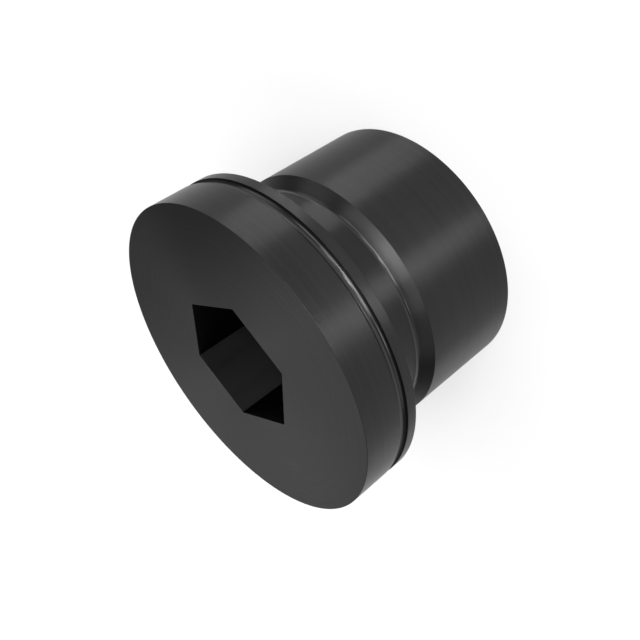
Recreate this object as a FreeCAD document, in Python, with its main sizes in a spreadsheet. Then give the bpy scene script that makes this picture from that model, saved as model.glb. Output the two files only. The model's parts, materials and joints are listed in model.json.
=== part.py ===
import FreeCAD, Part
import math
import os
import Sketcher

# Hex socket screw plug, turned from one bar and driven by a hexagon key.
# It stands on the end of its stud with the socket upwards. +Z is the axis, and the origin is the
# centre of the stud's end face, at the bottom. All sizes are in millimetres and degrees.

# Driving sizes: each has one cell of the sheet, with its name as the alias.
SIZES = {
    "collar_diameter": 26.8,   # largest diameter, just under the 27 mm of a size table
    "collar_height": 5.0,      # front face to seat
    "stud_diameter": 22.0,     # major diameter of an M22 x 1.5 thread, drawn plain
    "stud_length": 14.0,       # seat to end face
    "relief_depth": 0.92,      # takes the neck down to the thread's core, 20.16 mm across
    "relief_length": 5.0,      # seat to the first full diameter of the stud
    "relief_angle": 45.0,      # slope of the run-out cone against the axis
    "relief_radius": 0.3,      # inner corner radius at both ends of the neck
    "groove_width": 0.8,       # round-bottomed groove in the collar's rim, half as deep as wide
    "groove_from_seat": 1.25,  # seat to the middle of that groove
    "socket_across_flats": 10.0,
    "socket_depth": 7.0,       # front face to the end of the broached hexagon
    "pilot_allowance": 0.2,    # how much smaller the pilot drill is than the hexagon's flats
    "pilot_overrun": 0.4,      # how much deeper the drill's full diameter goes than the hexagon
    "drill_point_angle": 118.0,
}

# How a sketch names its own origin and axes, and the points of a line or circle.
ORIGIN_POINT = (-1, 1)
X_AXIS, Y_AXIS = range(-1, -3, -1)
START, END, CENTRE = range(1, 4)

doc = FreeCAD.newDocument("hex_socket_plug")


def size_sheet(sizes):
    """Write each size into a row of the sheet: its name, and its value under that name as alias."""
    sheet = doc.addObject("Spreadsheet::Sheet", "sizes")
    for row, (alias, value) in enumerate(sizes.items(), start=1):
        sheet.set(f"A{row}", alias)
        sheet.set(f"B{row}", str(value))
        sheet.setAlias(f"B{row}", alias)
    doc.recompute()
    return sheet


sheet = size_sheet(SIZES)

# Places that several features share, worked out from the driving sizes.
COLLAR_RADIUS = "sizes.collar_diameter / 2"
STUD_RADIUS = "sizes.stud_diameter / 2"
NECK_RADIUS = "(sizes.stud_diameter / 2 - sizes.relief_depth)"
OVERALL = "(sizes.stud_length + sizes.collar_height)"
SEAT = "sizes.stud_length"
RELIEF_END = "(sizes.stud_length - sizes.relief_length)"
CONE_TOP = f"({RELIEF_END} + sizes.relief_depth / tan(sizes.relief_angle * 1 deg))"
GROOVE_MIDDLE = "(sizes.stud_length + sizes.groove_from_seat)"


def value_of(expression):
    """The number that an expression of the sheet's sizes gives."""
    return float(sheet.evalExpression(expression))


def origin_plane(body, role):
    """One of the body's own three origin planes."""
    return next(plane for plane in body.Origin.OriginFeatures if plane.Role == role)


def new_sketch(body, name, role):
    """An empty sketch on one of the body's origin planes."""
    sketch = body.newObject("Sketcher::SketchObject", name)
    sketch.AttachmentSupport = [(origin_plane(body, role), "")]
    sketch.MapMode = "FlatFace"
    return sketch


def bind(sketch, kind, *where, name, expression):
    """Add a constraint with a name of its own and tie its value to an expression."""
    index = sketch.addConstraint(Sketcher.Constraint(kind, *where, value_of(expression)))
    sketch.renameConstraint(index, name)
    sketch.setExpression(f"Constraints.{name}", expression)


def draw_outline(sketch, corners):
    """Draw a closed outline. Each corner is a name with its place across and up, both expressions."""
    places = [FreeCAD.Vector(value_of(across), value_of(up), 0) for _, across, up in corners]
    count = len(corners)
    for index in range(count):
        sketch.addGeometry(Part.LineSegment(places[index], places[(index + 1) % count]), False)
    for index in range(count):
        sketch.addConstraint(Sketcher.Constraint("Coincident", index, END, (index + 1) % count, START))
    for index, (name, across, up) in enumerate(corners):
        corner = (index, START)
        if across == "0":
            sketch.addConstraint(Sketcher.Constraint("PointOnObject", *corner, Y_AXIS))
        else:
            bind(sketch, "DistanceX", *ORIGIN_POINT, *corner, name=f"{name}_across", expression=across)
        if up == "0":
            sketch.addConstraint(Sketcher.Constraint("PointOnObject", *corner, X_AXIS))
        else:
            bind(sketch, "DistanceY", *ORIGIN_POINT, *corner, name=f"{name}_up", expression=up)


def turn_about_axis(body, kind, name, sketch):
    """Turn a section once round the plug's axis, as new metal or as a cut."""
    feature = body.newObject(kind, name)
    feature.Profile = sketch
    feature.ReferenceAxis = (sketch, ["V_Axis"])
    feature.Angle = 360
    sketch.Visibility = False
    doc.recompute()
    return feature


def raise_to_front_face(sketch):
    """Lift a sketch from the XY plane to the collar's front face."""
    sketch.setExpression("AttachmentOffset.Base.z", OVERALL)


def turned_blank(body):
    """Collar and stud as one stepped section, turned round the axis."""
    sketch = new_sketch(body, "blank_section", "XZ_Plane")
    draw_outline(sketch, (
        ("end_centre", "0", "0"),
        ("end_edge", STUD_RADIUS, "0"),
        ("seat_inner", STUD_RADIUS, SEAT),
        ("seat_outer", COLLAR_RADIUS, SEAT),
        ("front_edge", COLLAR_RADIUS, OVERALL),
        ("front_centre", "0", OVERALL),
    ))
    return turn_about_axis(body, "PartDesign::Revolution", "turned_blank", sketch)


def thread_relief(body):
    """The neck behind the seat, with the run-out cone that rises from it to the stud."""
    sketch = new_sketch(body, "relief_section", "XZ_Plane")
    draw_outline(sketch, (
        ("neck_at_seat", NECK_RADIUS, SEAT),
        ("stud_at_seat", STUD_RADIUS, SEAT),
        ("cone_at_stud", STUD_RADIUS, RELIEF_END),
        ("cone_at_neck", NECK_RADIUS, CONE_TOP),
    ))
    return turn_about_axis(body, "PartDesign::Groove", "thread_relief", sketch)


def relief_corners(body, relief):
    """Round the neck's two inner corners, at the seat and at the foot of the cone."""
    neck_radius = value_of(NECK_RADIUS)
    heights = (value_of(SEAT), value_of(CONE_TOP))
    corners = []
    for number, edge in enumerate(relief.Shape.Edges, start=1):
        if not isinstance(edge.Curve, Part.Circle):
            continue
        on_neck = math.isclose(edge.Curve.Radius, neck_radius, abs_tol=1e-6)
        at_corner = any(math.isclose(edge.Curve.Center.z, height, abs_tol=1e-6) for height in heights)
        if on_neck and at_corner:
            corners.append(f"Edge{number}")
    fillet = body.newObject("PartDesign::Fillet", "relief_corners")
    fillet.Base = (relief, corners)
    fillet.setExpression("Radius", "sizes.relief_radius")
    doc.recompute()
    return fillet


def rim_groove(body):
    """The round-bottomed groove that sets a thin rim off from the collar."""
    sketch = new_sketch(body, "groove_section", "XZ_Plane")
    middle = FreeCAD.Vector(value_of(COLLAR_RADIUS), value_of(GROOVE_MIDDLE), 0)
    radius = "sizes.groove_width / 2"
    circle = sketch.addGeometry(Part.Circle(middle, FreeCAD.Vector(0, 0, 1), value_of(radius)))
    bind(sketch, "Radius", circle, name="groove_radius", expression=radius)
    bind(sketch, "DistanceX", *ORIGIN_POINT, circle, CENTRE, name="middle_across", expression=COLLAR_RADIUS)
    bind(sketch, "DistanceY", *ORIGIN_POINT, circle, CENTRE, name="middle_up", expression=GROOVE_MIDDLE)
    return turn_about_axis(body, "PartDesign::Groove", "rim_groove", sketch)


def pilot_hole(body):
    """The drilled hole that the hexagon is broached into, with its drill point at the bottom."""
    sketch = new_sketch(body, "pilot_centre", "XY_Plane")
    raise_to_front_face(sketch)
    diameter = "sizes.socket_across_flats - sizes.pilot_allowance"
    origin = FreeCAD.Vector(0, 0, 0)
    circle = sketch.addGeometry(Part.Circle(origin, FreeCAD.Vector(0, 0, 1), value_of(diameter) / 2))
    sketch.addConstraint(Sketcher.Constraint("Coincident", circle, CENTRE, *ORIGIN_POINT))
    bind(sketch, "Diameter", circle, name="pilot_diameter", expression=diameter)
    doc.recompute()
    hole = body.newObject("PartDesign::Hole", "pilot_hole")
    hole.Profile = sketch
    hole.ThreadType = "None"
    hole.DepthType = "Dimension"
    hole.DrillPoint = "Angled"
    hole.DrillForDepth = False
    hole.setExpression("Diameter", diameter)
    hole.setExpression("Depth", "sizes.socket_depth + sizes.pilot_overrun")
    hole.setExpression("DrillPointAngle", "sizes.drill_point_angle")
    sketch.Visibility = False
    doc.recompute()
    return hole


def hexagon_outline(sketch, across_flats):
    """Draw a regular hexagon round the origin, with its first corner on the X axis."""
    corner_radius = f"{across_flats} / sqrt(3)"
    radius = value_of(corner_radius)
    sides = 6
    places = []
    for index in range(sides):
        turn = 2 * math.pi * index / sides
        places.append(FreeCAD.Vector(radius * math.cos(turn), radius * math.sin(turn), 0))
    for index in range(sides):
        sketch.addGeometry(Part.LineSegment(places[index], places[(index + 1) % sides]), False)
    corner_circle = sketch.addGeometry(
        Part.Circle(FreeCAD.Vector(0, 0, 0), FreeCAD.Vector(0, 0, 1), radius), True)
    sketch.addConstraint(Sketcher.Constraint("Coincident", corner_circle, CENTRE, *ORIGIN_POINT))
    for index in range(sides):
        sketch.addConstraint(Sketcher.Constraint("Coincident", index, END, (index + 1) % sides, START))
        sketch.addConstraint(Sketcher.Constraint("PointOnObject", index, START, corner_circle))
    for index in range(1, sides):
        sketch.addConstraint(Sketcher.Constraint("Equal", 0, index))
    sketch.addConstraint(Sketcher.Constraint("PointOnObject", 0, START, X_AXIS))
    bind(sketch, "Radius", corner_circle, name="corner_radius", expression=corner_radius)


def hex_socket(body):
    """The broached hexagon, sunk from the front face."""
    sketch = new_sketch(body, "socket_section", "XY_Plane")
    raise_to_front_face(sketch)
    hexagon_outline(sketch, "sizes.socket_across_flats")
    socket = body.newObject("PartDesign::Pocket", "hex_socket")
    socket.Profile = sketch
    socket.Type = "Length"
    socket.setExpression("Length", "sizes.socket_depth")
    sketch.Visibility = False
    doc.recompute()
    return socket


def must_remove(feature, before):
    """Stop unless a cut has taken metal away from the solid that it started from."""
    if feature.Shape.Volume >= before.Shape.Volume:
        raise RuntimeError(f"{feature.Label} removes nothing")


def plug_body():
    """The whole plug, in the order in which it is made."""
    body = doc.addObject("PartDesign::Body", "plug_body")
    body.Label = "plug_body"
    blank = turned_blank(body)
    relief = thread_relief(body)
    must_remove(relief, blank)
    corners = relief_corners(body, relief)
    groove = rim_groove(body)
    must_remove(groove, corners)
    pilot = pilot_hole(body)
    must_remove(pilot, groove)
    socket = hex_socket(body)
    must_remove(socket, pilot)
    body.Tip = socket
    body.Placement = FreeCAD.Placement()
    doc.recompute()
    return body


parts = [plug_body()]

for item in doc.Objects:
    if "Invalid" in item.State or "Error" in item.State:
        raise RuntimeError(f"{item.Label} failed: {item.State}")
for part in parts:
    if part.Shape.isNull() or not part.Shape.isValid():
        raise RuntimeError(f"{part.Label} has no valid shape")

os.makedirs("parts", exist_ok=True)
for part in parts:
    part.Shape.exportStep(f"parts/{part.Label}.step")
    box = part.Shape.BoundBox
    print(part.Label, "solids", len(part.Shape.Solids), "volume", round(part.Shape.Volume, 2),
          "size", round(box.XLength, 3), round(box.YLength, 3), round(box.ZLength, 3))
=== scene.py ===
import json
import math

import bpy
import numpy as np
from bpy.props import (
    FloatProperty,
    FloatVectorProperty,
    IntProperty,
    PointerProperty,
    StringProperty,
)
from mathutils import Matrix, Vector


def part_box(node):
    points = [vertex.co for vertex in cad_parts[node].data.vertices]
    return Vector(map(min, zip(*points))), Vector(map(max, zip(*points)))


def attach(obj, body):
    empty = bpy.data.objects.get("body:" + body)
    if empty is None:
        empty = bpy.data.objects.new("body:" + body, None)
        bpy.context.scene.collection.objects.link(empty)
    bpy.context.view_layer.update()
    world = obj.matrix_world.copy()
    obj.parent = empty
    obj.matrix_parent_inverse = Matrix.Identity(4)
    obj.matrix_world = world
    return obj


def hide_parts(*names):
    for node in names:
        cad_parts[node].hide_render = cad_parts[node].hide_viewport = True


bl_info = {
    "name": "Hex socket plug",
    "version": (1, 0, 0),
    "blender": (4, 5, 0),
    "location": "3D View > Sidebar > Plug",
    "description": "A turned steel screw plug with a hexagon socket, and a plain stage to show it on",
    "category": "Add Mesh",
}

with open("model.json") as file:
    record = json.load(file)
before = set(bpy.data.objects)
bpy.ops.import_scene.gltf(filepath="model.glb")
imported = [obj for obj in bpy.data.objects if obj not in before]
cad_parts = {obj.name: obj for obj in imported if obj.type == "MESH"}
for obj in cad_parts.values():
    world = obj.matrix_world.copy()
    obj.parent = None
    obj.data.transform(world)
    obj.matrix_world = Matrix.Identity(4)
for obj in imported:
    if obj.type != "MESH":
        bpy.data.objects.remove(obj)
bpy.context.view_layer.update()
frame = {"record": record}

MM = 0.001
LOW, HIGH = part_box("plug_body")
MOUNTS = {mount["name"]: mount for mount in frame["record"]["mounts"]}

# An edge that turns by more than this stays sharp under smooth shading.
SHARP_ANGLE = math.radians(35)
# Steps in the arc of the groove's bottom and in each rounded corner.
GROOVE_STEPS = 16
CORNER_STEPS = 6
# A small ring stands this near to the drill point, as a share of the cone's length, so that smooth
# shading doesn't round off the point.
TIP_SHARE = 1 / 40
# Gathered oil fades out between these multiples of a hollow's reach.
OIL_FADE = (1.02, 1.12)
# Noise seldom leaves this range, which is stretched to the range that each use needs.
NOISE_LOW, NOISE_HIGH = 0.3, 0.7
# The floor reaches this far from the plug each way, in metres.
FLOOR_REACH = 2.0
# A sun's place doesn't change its light. The lamps stand this far from the plug, in metres.
LAMP_DISTANCE = 0.3
# The camera's sensor, and the nearest and farthest that it sees, in metres.
SENSOR_WIDTH_MM = 36.0
CLIP_START, CLIP_END = 0.001, 10.0


class PlugSizes(bpy.types.PropertyGroup):
    """Sizes of the plug. What the frame measures is read from it, and the rest are set here."""

    collar_diameter: FloatProperty(
        name="Collar diameter", description="Largest diameter of the plug",
        default=2 * max(HIGH.x, -LOW.x, HIGH.y, -LOW.y), unit="LENGTH", subtype="DISTANCE")
    overall_height: FloatProperty(
        name="Overall height", description="Stud's end face to the collar's front face",
        default=HIGH.z - LOW.z, unit="LENGTH", subtype="DISTANCE")
    seat_height: FloatProperty(
        name="Seat height", description="Stud's end face to the collar's seat",
        default=MOUNTS["seat"]["pos_m"][2], unit="LENGTH", subtype="DISTANCE")
    stud_diameter: FloatProperty(
        name="Stud diameter", description="Diameter of the plain stud",
        default=2 * MM * MOUNTS["stud"]["dims"]["r_mm"], unit="LENGTH", subtype="DISTANCE")
    stud_wall: FloatProperty(
        name="Stud wall", description="Stud's end face to the foot of the run-out cone",
        default=MM * MOUNTS["stud"]["dims"]["length_mm"], unit="LENGTH", subtype="DISTANCE")
    relief_depth: FloatProperty(
        name="Relief depth", description="How far the neck lies under the stud's surface",
        default=0.92 * MM, unit="LENGTH", subtype="DISTANCE")
    relief_radius: FloatProperty(
        name="Relief radius", description="Inner corner radius at both ends of the neck",
        default=0.3 * MM, unit="LENGTH", subtype="DISTANCE")
    groove_width: FloatProperty(
        name="Groove width", description="Width of the round-bottomed groove in the rim",
        default=0.8 * MM, unit="LENGTH", subtype="DISTANCE")
    groove_from_seat: FloatProperty(
        name="Groove from seat", description="Seat to the middle of the groove",
        default=1.25 * MM, unit="LENGTH", subtype="DISTANCE")
    socket_across_flats: FloatProperty(
        name="Across flats", description="Width of the hexagon socket between two flats",
        default=2 * MM * MOUNTS["hex_socket"]["dims"]["r_mm"], unit="LENGTH", subtype="DISTANCE")
    socket_depth: FloatProperty(
        name="Socket depth", description="Front face to the end of the hexagon",
        default=MM * MOUNTS["hex_socket"]["dims"]["length_mm"], unit="LENGTH", subtype="DISTANCE")
    pilot_allowance: FloatProperty(
        name="Pilot allowance", description="How much smaller the pilot drill is than the flats",
        default=0.2 * MM, unit="LENGTH", subtype="DISTANCE")
    pilot_overrun: FloatProperty(
        name="Pilot overrun", description="How much deeper the drill goes than the hexagon",
        default=0.4 * MM, unit="LENGTH", subtype="DISTANCE")
    drill_point_angle: FloatProperty(
        name="Drill point", description="Full angle of the drill's point",
        default=math.radians(118), subtype="ANGLE")
    edge_break: FloatProperty(
        name="Edge break", description="Radius that deburring leaves on the outer edges",
        default=0.03 * MM, unit="LENGTH", subtype="DISTANCE")
    turns: IntProperty(
        name="Points round", description="Points round the axis, a multiple of the six flats",
        default=480, min=6)


class FinishSettings(bpy.types.PropertyGroup):
    """Colours and grain of the plug's finish and of the stage."""

    oxide_colour: StringProperty(
        name="Oxide", description="Colour of the black oxide as an sRGB hex value", default="#242424")
    oxide_roughness: FloatProperty(
        name="Oxide roughness", description="Roughness of the turned oxide skin",
        default=0.38, min=0.0, max=1.0, subtype="FACTOR")
    roughness_swing: FloatProperty(
        name="Roughness swing", description="How far clouds in the skin move its roughness each way",
        default=0.02, min=0.0, max=1.0, subtype="FACTOR")
    cloud_size: FloatProperty(
        name="Cloud size", description="Size of the clouds in the oxide skin",
        default=5 * MM, unit="LENGTH", subtype="DISTANCE")
    cloud_swing: FloatProperty(
        name="Cloud swing", description="How far the clouds move the colour each way",
        default=0.08, min=0.0, max=1.0, subtype="FACTOR")
    mark_swing: FloatProperty(
        name="Mark swing", description="How far the tool marks move the colour each way",
        default=0.1, min=0.0, max=1.0, subtype="FACTOR")
    streaking: FloatProperty(
        name="Streaking", description="How strongly the turned rings stretch a highlight",
        default=0.9, min=0.0, max=1.0, subtype="FACTOR")
    edge_tint: FloatProperty(
        name="Edge tint", description="Grey that the skin turns where it is seen at a slant",
        default=0.6, min=0.0, max=1.0, subtype="FACTOR")
    oil_weight: FloatProperty(
        name="Oil", description="How much of the skin the thin film of oil covers",
        default=0.36, min=0.0, max=1.0, subtype="FACTOR")
    oil_roughness: FloatProperty(
        name="Oil roughness", description="Roughness of the film of oil",
        default=0.29, min=0.0, max=1.0, subtype="FACTOR")
    pooled_oil_weight: FloatProperty(
        name="Pooled oil", description="How much of the hollows the gathered oil covers",
        default=0.8, min=0.0, max=1.0, subtype="FACTOR")
    pooled_oil_roughness: FloatProperty(
        name="Pooled oil roughness", description="Roughness of the oil that gathers in the hollows",
        default=0.16, min=0.0, max=1.0, subtype="FACTOR")
    mark_spacing: FloatProperty(
        name="Mark spacing", description="Spacing of the turning and broaching marks as drawn",
        default=0.3 * MM, unit="LENGTH", subtype="DISTANCE")
    mark_height: FloatProperty(
        name="Mark height", description="Height of the turning and broaching marks",
        default=0.008 * MM, unit="LENGTH", subtype="DISTANCE")
    floor_colour: StringProperty(
        name="Floor", description="Colour of the paper floor as an sRGB hex value", default="#f2f2f2")
    floor_lift: FloatProperty(
        name="Floor lift", description="How far the floor is lifted to plain white where it is seen",
        default=0.45, min=0.0, max=1.0, subtype="FACTOR")


class StageSettings(bpy.types.PropertyGroup):
    """Where the camera stands and how it is turned."""

    aim: FloatVectorProperty(
        name="Aim", description="Point that the camera looks at",
        default=(-0.821 * MM, 0.686 * MM, 10.552 * MM), size=3, precision=5,
        unit="LENGTH", subtype="TRANSLATION")
    azimuth: FloatProperty(
        name="Azimuth", description="Camera's turn round the plug from the front",
        default=math.radians(-5.331), subtype="ANGLE")
    elevation: FloatProperty(
        name="Elevation", description="Camera's height above the floor, as an angle",
        default=math.radians(29.952), subtype="ANGLE")
    roll: FloatProperty(
        name="Roll", description="Camera's clockwise turn about its own view",
        default=math.radians(125.3), subtype="ANGLE")
    distance: FloatProperty(
        name="Distance", description="Camera to the point that it looks at",
        default=70.339 * MM, unit="LENGTH", subtype="DISTANCE")
    lens: FloatProperty(
        name="Lens", description="Focal length on a sensor 36 mm wide",
        default=48.663, unit="CAMERA")


def arc(centre, radius, start, end, steps):
    """Points of a circular arc: centre plus radius times the cosine and sine of evenly spaced angles."""
    angle = np.linspace(start, end, steps + 1)
    return np.stack([centre[0] + radius * np.cos(angle), centre[1] + radius * np.sin(angle)], axis=1)


def rounded(corners, hold=0.4):
    """Round the corners of an outline of (across, up, shape, radius) rows.

    Each arc is part of a circle that touches both sides, at the radius times the tangent of half the
    turn from the corner. Its points lie at even angles from the first touching point to the second.
    A holding point lies on each side just outside the arc, hold times the radius away, so that
    smooth shading stays flat there.
    Shape is 0 where the ring is round and 1 where it is a hexagon, and is carried along.
    """
    rows = [np.array([corners[0][:3]])]
    for before, here, after in zip(corners[:-2], corners[1:-1], corners[2:]):
        radius = here[3]
        point = np.array(here[:2])
        if radius == 0:
            rows.append(np.array([here[:3]]))
            continue
        way_in = point - np.array(before[:2])
        way_out = np.array(after[:2]) - point
        way_in /= np.linalg.norm(way_in)
        way_out /= np.linalg.norm(way_out)
        turn = math.acos(np.clip(way_in @ way_out, -1, 1))
        reach = radius * math.tan(turn / 2)
        side = math.copysign(1.0, way_in[0] * way_out[1] - way_in[1] * way_out[0])
        normal = side * np.array([-way_in[1], way_in[0]])
        middle = point - reach * way_in + radius * normal
        angle = np.linspace(0, turn, CORNER_STEPS + 1)[:, None]
        curve = middle - radius * (np.cos(angle) * normal - np.sin(angle) * way_in)
        first = curve[0] - hold * radius * way_in
        last = curve[-1] + hold * radius * way_out
        line = np.vstack([first, curve, last])
        rows.append(np.column_stack([line, np.full(len(line), here[2])]))
    rows.append(np.array([corners[-1][:3]]))
    return np.vstack(rows)


def hexagon_share(angle):
    """Distance from the axis to a hexagon whose flats lie one unit out: 1 over the cosine of the
    angle from the nearest flat's middle. The corners are at 0, 60, 120 degrees and so on."""
    sector = math.pi / 3
    return 1 / np.cos(np.mod(angle, sector) - sector / 2)


def swept_rings(profile, turns):
    """Carry a profile of (radius, height, shape) rows round the axis.

    A ring's point at an angle lies at radius * ((1 - shape) + shape * hexagon_share) from the axis.
    The first and last rows are on the axis, and each becomes one point with a fan of triangles.
    """
    angle = 2 * math.pi * np.arange(turns) / turns
    reach = 1 + profile[1:-1, 2:3] * (hexagon_share(angle)[None, :] - 1)
    across = profile[1:-1, 0:1] * reach
    up = np.broadcast_to(profile[1:-1, 1:2], across.shape)
    rings = np.stack([across * np.cos(angle), across * np.sin(angle), up], axis=2).reshape(-1, 3)
    start = np.array([[0.0, 0.0, profile[0, 1]]])
    end = np.array([[0.0, 0.0, profile[-1, 1]]])
    count = len(profile) - 2
    column = np.arange(turns)
    beside = np.roll(column, -1)
    row = np.arange(count - 1)[:, None] * turns
    quads = np.stack([row + column, row + beside, row + turns + beside, row + turns + column], axis=2)
    first, last = count * turns, count * turns + 1
    top = (count - 1) * turns
    start_fan = np.stack([np.full(turns, first), beside, column], axis=1)
    end_fan = np.stack([np.full(turns, last), top + column, top + beside], axis=1)
    faces = quads.reshape(-1, 4).tolist() + start_fan.tolist() + end_fan.tolist()
    return np.vstack([rings, start, end]), faces


def mesh_object(name, points, faces):
    """An object at the origin whose mesh holds the points and faces, smooth up to sharp edges."""
    mesh = bpy.data.meshes.new(name)
    mesh.from_pydata(points, [], faces)
    mesh.shade_smooth()
    mesh.set_sharp_from_angle(angle=SHARP_ANGLE)
    piece = bpy.data.objects.new(name, mesh)
    bpy.context.scene.collection.objects.link(piece)
    return piece


def plug_profile(sizes):
    """The plug's half section as (radius, height, shape) rows, from the end face's centre round
    the outside, over the front face and down the socket to the drill point."""
    edge = sizes.edge_break
    collar = sizes.collar_diameter / 2
    stud = sizes.stud_diameter / 2
    neck = stud - sizes.relief_depth
    top = sizes.overall_height
    seat = sizes.seat_height
    cone_foot = sizes.stud_wall
    cone_top = cone_foot + sizes.relief_depth
    groove = sizes.groove_width / 2
    groove_edge = edge / 2
    middle = seat + sizes.groove_from_seat
    flat = sizes.socket_across_flats / 2
    pilot = flat - sizes.pilot_allowance / 2
    ledge = top - sizes.socket_depth
    shoulder = ledge - sizes.pilot_overrun
    tip = shoulder - pilot / math.tan(sizes.drill_point_angle / 2)
    bowl = arc((collar, middle), groove, -math.pi / 2, -3 * math.pi / 2, GROOVE_STEPS)
    corners = [
        (0, 0, 0, 0),
        (stud, 0, 0, edge),
        (stud, cone_foot, 0, edge),
        (neck, cone_top, 0, sizes.relief_radius),
        (neck, seat, 0, sizes.relief_radius),
        (collar, seat, 0, edge),
        (*bowl[0], 0, groove_edge),
        *[(*point, 0, 0) for point in bowl[1:-1]],
        (*bowl[-1], 0, groove_edge),
        (collar, top, 0, edge),
        (flat, top, 1, edge),
        (flat, ledge, 1, 0),
        (pilot, ledge, 0, 0),
        (pilot, shoulder, 0, 0),
        (pilot * TIP_SHARE, tip + (shoulder - tip) * TIP_SHARE, 0, 0),
        (0, tip, 0, 0),
    ]
    return rounded(corners)


def linear(hex_colour):
    """An sRGB hex value as linear red, green, blue and alpha."""
    value = np.array([int(hex_colour[i:i + 2], 16) for i in (1, 3, 5)]) / 255
    low = value / 12.92
    high = ((value + 0.055) / 1.055) ** 2.4
    return (*np.where(value <= 0.04045, low, high), 1.0)


def add(tree, kind, inputs=None, **settings):
    """Add a node. Each input is a value, or an output socket to link from."""
    node = tree.nodes.new(kind)
    for name, value in settings.items():
        setattr(node, name, value)
    for name, value in (inputs or {}).items():
        if isinstance(value, bpy.types.NodeSocket):
            tree.links.new(value, node.inputs[name])
        else:
            node.inputs[name].default_value = value
    return node


def new_material(name):
    """An empty material with its output node."""
    material = bpy.data.materials.new(name)
    material.use_nodes = True
    material.node_tree.nodes.clear()
    return material, material.node_tree, add(material.node_tree, "ShaderNodeOutputMaterial")


def hollows(sizes):
    """Where oil gathers, as (radius, height, reach) circles in the half section.

    They are the rim's groove and the neck's two inner corners. The groove's circle is sunk and a
    little small, so that it leaves out the groove's mouth. A corner's circle reaches half the
    corner's radius, which takes in the whole arc at the cone and the middle of the arc at the seat.
    """
    collar = sizes.collar_diameter / 2
    neck = sizes.stud_diameter / 2 - sizes.relief_depth
    groove = sizes.groove_width / 2
    groove_sunk = groove / 6
    groove_reach = 0.9 * groove
    corner_reach = sizes.relief_radius / 2
    return (
        (collar - groove_sunk, sizes.seat_height + sizes.groove_from_seat, groove_reach),
        (neck, sizes.stud_wall + sizes.relief_depth, corner_reach),
        (neck, sizes.seat_height, corner_reach),
    )


def gathered_oil(tree, section, circles):
    """A socket that is 1 within the circles and fades smoothly to 0 just outside them."""
    share = 0.0
    for radius, height, reach in circles:
        away = add(tree, "ShaderNodeVectorMath", {0: section, 1: (radius, height, 0.0)},
                   operation="DISTANCE")
        near = add(tree, "ShaderNodeMapRange", {
            "Value": away.outputs["Value"], "From Min": OIL_FADE[0] * reach,
            "From Max": OIL_FADE[1] * reach, "To Min": 1.0, "To Max": 0.0},
            interpolation_type="SMOOTHSTEP")
        share = add(tree, "ShaderNodeMath", {0: near.outputs[0], 1: share}, operation="MAXIMUM").outputs[0]
    return share


def swing(tree, noise, middle, reach):
    """Stretch a noise's usual range to reach either side of the middle value."""
    return add(tree, "ShaderNodeMapRange", {
        "Value": noise.outputs["Fac"], "From Min": NOISE_LOW, "From Max": NOISE_HIGH,
        "To Min": middle - reach, "To Max": middle + reach}).outputs[0]


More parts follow.
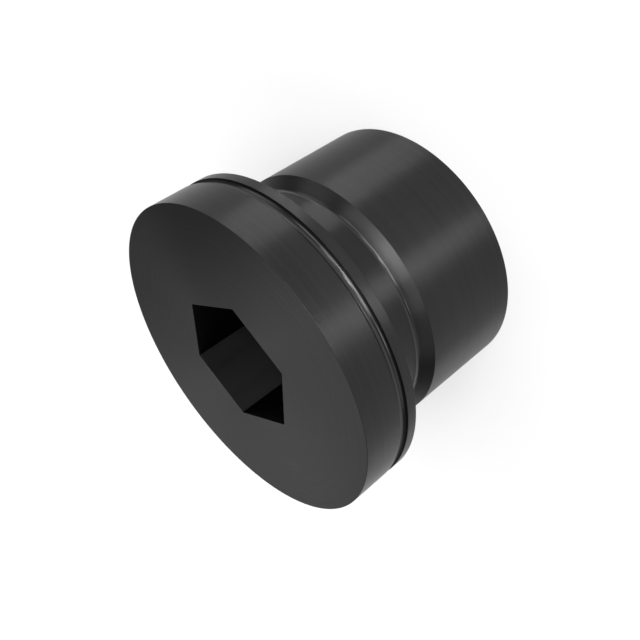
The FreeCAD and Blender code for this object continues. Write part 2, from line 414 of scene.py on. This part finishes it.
def turned_black_oxide_steel(finish, sizes):
    """Steel turned on a lathe, then blackened in a hot oxide bath and oiled: a near-black satin skin
    through which the fine rings of the tool still show, with slightly cloudy sheen.

    The rings stretch each highlight into a streak along the axis, and the oil puts a rounder, softer
    shine over it. Oil gathers in the groove and the inner corners and is smoother there, which draws
    a bright line along them. The real feed is about 0.12 mm a turn, too fine to show at this size, so
    the marks are drawn at 0.3 mm. Inside the socket's corner radius they depend on the radius alone,
    and on the hexagon's walls they are the straight marks of the broach.
    """
    socket_corner = sizes.socket_across_flats / 2 * hexagon_share(0.0)
    material, tree, output = new_material("turned_black_oxide_steel")
    place = add(tree, "ShaderNodeTexCoord").outputs["Object"]
    split = add(tree, "ShaderNodeSeparateXYZ", {0: place})
    flat_place = add(tree, "ShaderNodeVectorMath", {0: place, 1: (1.0, 1.0, 0.0)}, operation="MULTIPLY")
    radius = add(tree, "ShaderNodeVectorMath", {0: flat_place.outputs[0]}, operation="LENGTH")
    outside = add(tree, "ShaderNodeMath", {0: radius.outputs["Value"], 1: socket_corner},
                  operation="GREATER_THAN")
    height = add(tree, "ShaderNodeMath", {0: split.outputs["Z"], 1: outside.outputs[0]},
                 operation="MULTIPLY")
    section = add(tree, "ShaderNodeCombineXYZ", {"X": radius.outputs["Value"], "Y": height.outputs[0]})
    marks = add(tree, "ShaderNodeTexNoise", {
        "Vector": section.outputs[0], "Scale": 1 / finish.mark_spacing, "Detail": 2.0},
        noise_dimensions="2D")
    clouds = add(tree, "ShaderNodeTexNoise", {
        "Vector": place, "Scale": 1 / finish.cloud_size, "Detail": 3.0, "Roughness": 0.55})
    dark = linear(finish.oxide_colour)
    tint = finish.edge_tint
    # Clouds in the skin and the tool marks each shade the colour a little.
    tone = swing(tree, clouds, 1.0, finish.cloud_swing)
    streak = swing(tree, marks, 1.0, finish.mark_swing)
    shade = add(tree, "ShaderNodeMath", {0: tone, 1: streak}, operation="MULTIPLY")
    colour = add(tree, "ShaderNodeVectorMath", {0: dark[:3], "Scale": shade.outputs[0]}, operation="SCALE")
    rough = swing(tree, clouds, finish.oxide_roughness, finish.roughness_swing)
    bump = add(tree, "ShaderNodeBump", {
        "Height": marks.outputs["Fac"], "Strength": 1.0, "Distance": finish.mark_height})
    round_axis = add(tree, "ShaderNodeTangent", direction_type="RADIAL", axis="Z")
    pooled = gathered_oil(tree, section.outputs[0], hollows(sizes))
    oil = add(tree, "ShaderNodeMapRange", {
        "Value": pooled, "To Min": finish.oil_weight, "To Max": finish.pooled_oil_weight})
    oil_rough = add(tree, "ShaderNodeMapRange", {
        "Value": pooled, "To Min": finish.oil_roughness, "To Max": finish.pooled_oil_roughness})
    # A quarter turn lays the streaks across the rings.
    shader = add(tree, "ShaderNodeBsdfPrincipled", {
        "Base Color": colour.outputs[0], "Roughness": rough, "Normal": bump.outputs[0],
        "Tangent": round_axis.outputs[0], "Metallic": 1.0, "Anisotropic": finish.streaking,
        "Anisotropic Rotation": 0.25, "Specular Tint": (tint, tint, tint, 1.0),
        "Coat Weight": oil.outputs[0], "Coat Roughness": oil_rough.outputs[0]})
    tree.links.new(shader.outputs[0], output.inputs["Surface"])
    return material


def matte_paper(finish):
    """Uncoated white paper sweep: fully matte. For the camera, in gloss and through glass it is
    lifted nearly half-way to plain white, which keeps the plug's shadow but softens it."""
    material, tree, output = new_material("matte_paper")
    white = linear(finish.floor_colour)
    diffuse = add(tree, "ShaderNodeBsdfDiffuse", {"Color": white})
    glow = add(tree, "ShaderNodeEmission", {"Color": (1.0, 1.0, 1.0, 1.0), "Strength": 1.0})
    path = add(tree, "ShaderNodeLightPath").outputs
    seen = add(tree, "ShaderNodeMath", {0: path["Is Camera Ray"], 1: path["Is Glossy Ray"]},
               operation="MAXIMUM")
    shown = add(tree, "ShaderNodeMath", {0: seen.outputs[0], 1: path["Is Transmission Ray"]},
                operation="MAXIMUM")
    share = add(tree, "ShaderNodeMath", {0: shown.outputs[0], 1: finish.floor_lift},
                operation="MULTIPLY")
    mix = add(tree, "ShaderNodeMixShader", {0: share.outputs[0], 1: diffuse.outputs[0], 2: glow.outputs[0]})
    tree.links.new(mix.outputs[0], output.inputs["Surface"])
    return material


class PLUG_OT_body(bpy.types.Operator):
    """Make the turned plug with its hexagon socket"""

    bl_idname = "plug.body"
    bl_label = "Plug body"

    def execute(self, context):
        sizes = context.scene.plug_sizes
        points, faces = swept_rings(plug_profile(sizes), sizes.turns)
        piece = mesh_object("turned_plug", points, faces)
        steel = turned_black_oxide_steel(context.scene.plug_finish, sizes)
        piece.data.materials.append(steel)
        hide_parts("plug_body")
        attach(piece, "root")
        return {"FINISHED"}


# Far soft lamps: name, azimuth, elevation and angular width in degrees, and strength, where a sheet
# of white paper that faces a lamp of strength pi renders as white. The plug in the photo hangs in the
# air and is lit from below too, so the low lamps light it from under the floor, which throws no
# shadow of its own.
LAMPS = (
    ("key", 0, 53, 16, 0.85),
    ("key_left", -22, 53, 16, 0.6),
    ("key_far_left", -54, 50, 18, 0.3),
    ("key_right", 22, 52, 16, 0.35),
    ("key_far_right", 46, 46, 18, 0.3),
    ("side_right", 84, 32, 30, 0.28),
    ("side_left", -84, 36, 34, 0.2),
    ("front", -3, 28, 9, 0.55),
    ("front_left", -20, 28, 14, 0.45),
    ("front_right", 16, 28, 14, 0.3),
    ("low_left_inner", -20, -33, 14, 0.21),
    ("low_left_outer", -30, -33, 14, 0.14),
    ("low_right_inner", 56, -33, 14, 0.2),
    ("low_right_outer", 74, -33, 14, 0.16),
    ("back", 180, 32, 24, 0.17),
    ("low_back_left", -125, -33, 14, 0.03),
)
# The world's brightness at the horizon, above it, and overhead. It changes over two bands of height,
# where 0 is level and 1 is straight up.
HORIZON_LEVEL = 1.0
WORLD_LEVEL = 0.18
OVERHEAD_LEVEL = 0.8
HORIZON_BAND = (0.08, 0.3)
OVERHEAD_BAND = (0.8, 0.95)


def direction(azimuth, elevation):
    """Unit vector towards a place round the plug: azimuth 0 is in front, at -Y."""
    level = math.cos(elevation)
    return Vector((math.sin(azimuth) * level, -math.cos(azimuth) * level, math.sin(elevation)))


class PLUG_OT_stage(bpy.types.Operator):
    """Make the floor, the lamps, the world and the camera"""

    bl_idname = "plug.stage"
    bl_label = "Stage"

    def execute(self, context):
        scene = context.scene
        self.floor(scene)
        self.lamps(scene)
        self.world(scene)
        self.camera(scene)
        scene.view_settings.view_transform = "Standard"
        return {"FINISHED"}

    def floor(self, scene):
        """A flat sheet of paper. It takes the plug's shadow and lets the low lamps' light through."""
        far = FLOOR_REACH
        points = [(-far, -far, 0), (far, -far, 0), (far, far, 0), (-far, far, 0)]
        floor = mesh_object("floor", points, [(0, 1, 2, 3)])
        floor.data.materials.append(matte_paper(scene.plug_finish))
        floor.visible_shadow = False

    def lamps(self, scene):
        """One sun for each row of LAMPS, which shines towards the plug."""
        for name, azimuth, elevation, width, strength in LAMPS:
            lamp = bpy.data.lights.new(name, "SUN")
            lamp.angle = math.radians(width)
            lamp.energy = strength
            # A gloss ray that finds a lamp by chance would stop at the floor, and its share of the
            # light would be lost, so a lamp under the floor is only sampled directly.
            lamp.cycles.use_multiple_importance_sampling = elevation > 0
            holder = bpy.data.objects.new(name, lamp)
            towards = direction(math.radians(azimuth), math.radians(elevation))
            holder.location = towards * LAMP_DISTANCE
            holder.rotation_euler = towards.to_track_quat("Z", "Y").to_euler()
            scene.collection.objects.link(holder)

    def world(self, scene):
        """A white horizon, which the floor runs into, darker above it and pale straight overhead."""
        world = bpy.data.worlds.new("studio")
        world.use_nodes = True
        tree = world.node_tree
        background = tree.nodes["Background"]
        background.inputs["Color"].default_value = (1.0, 1.0, 1.0, 1.0)
        place = add(tree, "ShaderNodeTexCoord").outputs["Generated"]
        height = add(tree, "ShaderNodeSeparateXYZ", {0: place}).outputs["Z"]
        low = add(tree, "ShaderNodeMapRange", {
            "Value": height, "From Min": HORIZON_BAND[0], "From Max": HORIZON_BAND[1],
            "To Min": HORIZON_LEVEL, "To Max": WORLD_LEVEL}, interpolation_type="SMOOTHSTEP")
        high = add(tree, "ShaderNodeMapRange", {
            "Value": height, "From Min": OVERHEAD_BAND[0], "From Max": OVERHEAD_BAND[1],
            "To Min": 0.0, "To Max": OVERHEAD_LEVEL - WORLD_LEVEL}, interpolation_type="SMOOTHSTEP")
        level = add(tree, "ShaderNodeMath", {0: low.outputs[0], 1: high.outputs[0]}, operation="ADD")
        tree.links.new(level.outputs[0], background.inputs["Strength"])
        scene.world = world

    def camera(self, scene):
        """A camera at its distance from the aim, turned to face it and then rolled."""
        stage = scene.plug_stage
        lens = bpy.data.cameras.new("photo_camera")
        lens.sensor_width = SENSOR_WIDTH_MM
        lens.lens = stage.lens
        lens.clip_start = CLIP_START
        lens.clip_end = CLIP_END
        camera = bpy.data.objects.new("photo_camera", lens)
        back = direction(stage.azimuth, stage.elevation)
        place = Vector(stage.aim) + back * stage.distance
        turn = back.to_track_quat("Z", "Y").to_matrix() @ Matrix.Rotation(-stage.roll, 3, "Z")
        camera.matrix_world = Matrix.Translation(place) @ turn.to_4x4()
        scene.collection.objects.link(camera)
        scene.camera = camera


class PLUG_PT_sidebar(bpy.types.Panel):
    """Lists the plug's operators and settings"""

    bl_idname = "PLUG_PT_sidebar"
    bl_label = "Hex socket plug"
    bl_space_type = "VIEW_3D"
    bl_region_type = "UI"
    bl_category = "Plug"

    def draw(self, context):
        for operator in OPERATORS:
            self.layout.operator(operator.bl_idname)
        for group in (context.scene.plug_sizes, context.scene.plug_finish, context.scene.plug_stage):
            for name in group.bl_rna.properties.keys():
                if name not in ("rna_type", "name"):
                    self.layout.prop(group, name)


OPERATORS = (PLUG_OT_body, PLUG_OT_stage)
GROUPS = {"plug_sizes": PlugSizes, "plug_finish": FinishSettings, "plug_stage": StageSettings}


def register():
    """Make the settings, the operators and the panel known to Blender."""
    for kind in (*GROUPS.values(), *OPERATORS, PLUG_PT_sidebar):
        bpy.utils.register_class(kind)
    for name, group in GROUPS.items():
        setattr(bpy.types.Scene, name, PointerProperty(type=group))


def unregister():
    """Take the settings, the operators and the panel out of Blender again."""
    for name in GROUPS:
        delattr(bpy.types.Scene, name)
    for kind in (PLUG_PT_sidebar, *OPERATORS, *GROUPS.values()):
        bpy.utils.unregister_class(kind)


def main():
    """Build the plug and its stage."""
    register()
    bpy.ops.plug.body()
    bpy.ops.plug.stage()


if __name__ == "__main__":
    main()
